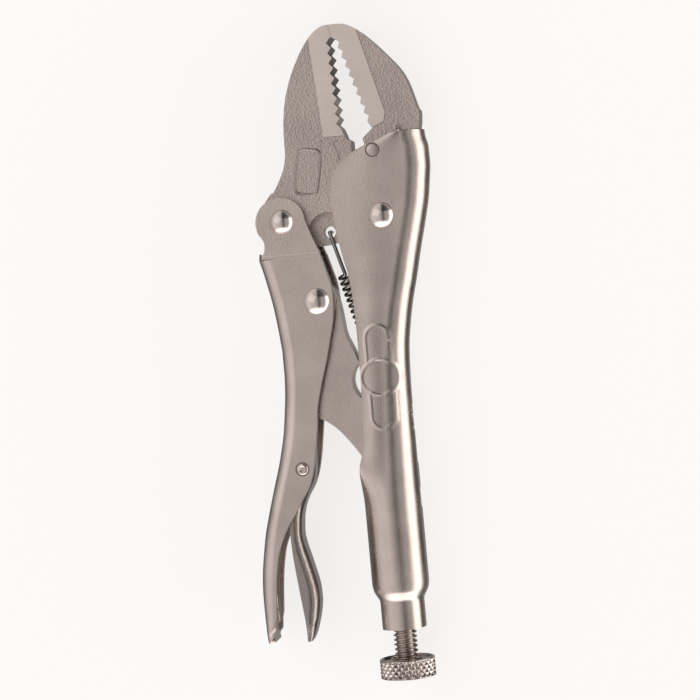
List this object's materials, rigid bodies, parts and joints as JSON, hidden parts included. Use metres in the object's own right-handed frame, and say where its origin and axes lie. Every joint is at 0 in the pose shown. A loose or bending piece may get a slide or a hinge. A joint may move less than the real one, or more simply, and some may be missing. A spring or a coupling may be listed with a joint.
{
  "type": "locking pliers",
  "caption": "Locking pliers with straight serrated jaws, an over-centre toggle linkage, a release lever and a knurled adjusting screw.",
  "frame": {"origin": "middle of the footprint of the tool lying flat on its side, at the underside of the lower rivet heads", "axes": "+Y along the adjusting screw towards the jaws, +Z across the tool's thickness, up from the bench, +X from the lever towards the back of the fixed handle"},
  "size_m": [0.055, 0.1758, 0.018],
  "materials": {
    "nickel_plated_sheet": "satin",
    "forged_steel": "satin",
    "bright_steel": "gloss",
    "screw_steel": "satin",
    "spring_steel": "satin"
  },
  "bodies": {
    "handle": {"fixed_handle": "nickel_plated_sheet", "fixed_jaw": "forged_steel", "fixed_jaw_pin": "bright_steel", "jaw_pivot_rivet": "bright_steel", "return_spring": "spring_steel"},
    "jaw": {"moving_jaw": "forged_steel"},
    "lever": {"lever_handle": "nickel_plated_sheet", "lever_rivet": "bright_steel", "link_rivet": "bright_steel", "release_rivet": "bright_steel"},
    "link": {"toggle_link": "nickel_plated_sheet"},
    "release": {"release_lever": "nickel_plated_sheet"},
    "screw": {"adjusting_screw": "screw_steel"},
    "knob": {"screw_knob": "screw_steel"}
  },
  "joints": [
    {"name": "jaw_hinge", "type": "hinge", "parent": "handle", "child": "jaw", "pos_m": [0.01373, 0.03624, 0.00901], "axis": [0, 0, 1], "range_deg": [0, 18.3], "deforming": ["return_spring"]},
    {"name": "lever_hinge", "type": "hinge", "parent": "jaw", "child": "lever", "pos_m": [-0.01302, 0.03684, 0.00901], "axis": [0, 0, -1], "range_deg": [0, 60]},
    {"name": "link_hinge", "type": "hinge", "parent": "lever", "child": "link", "pos_m": [-0.00545, 0.01501, 0.00901], "axis": [0, 0, 1], "range_deg": [0, 63]},
    {"name": "release_hinge", "type": "hinge", "parent": "lever", "child": "release", "pos_m": [-0.01327, -0.02936, 0.00901], "axis": [0, 0, -1], "range_deg": [0, 5]},
    {"name": "screw_slide", "type": "slide", "parent": "handle", "child": "screw", "axis": [0, -1, 0], "range_m": [0, 0.02]},
    {"name": "knob_turn", "type": "hinge", "parent": "screw", "child": "knob", "pos_m": [0.00933, -0.08266, 0.00901], "axis": [0, -1, 0], "continuous": true}
  ],
  "couplings": [
    {"joint": "jaw_hinge", "follows": "lever_hinge", "ratio": 0.305},
    {"joint": "link_hinge", "follows": "lever_hinge", "ratio": 1.05},
    {"joint": "knob_turn", "follows": "screw_slide", "rad_per_m": 4947.4}
  ]
}
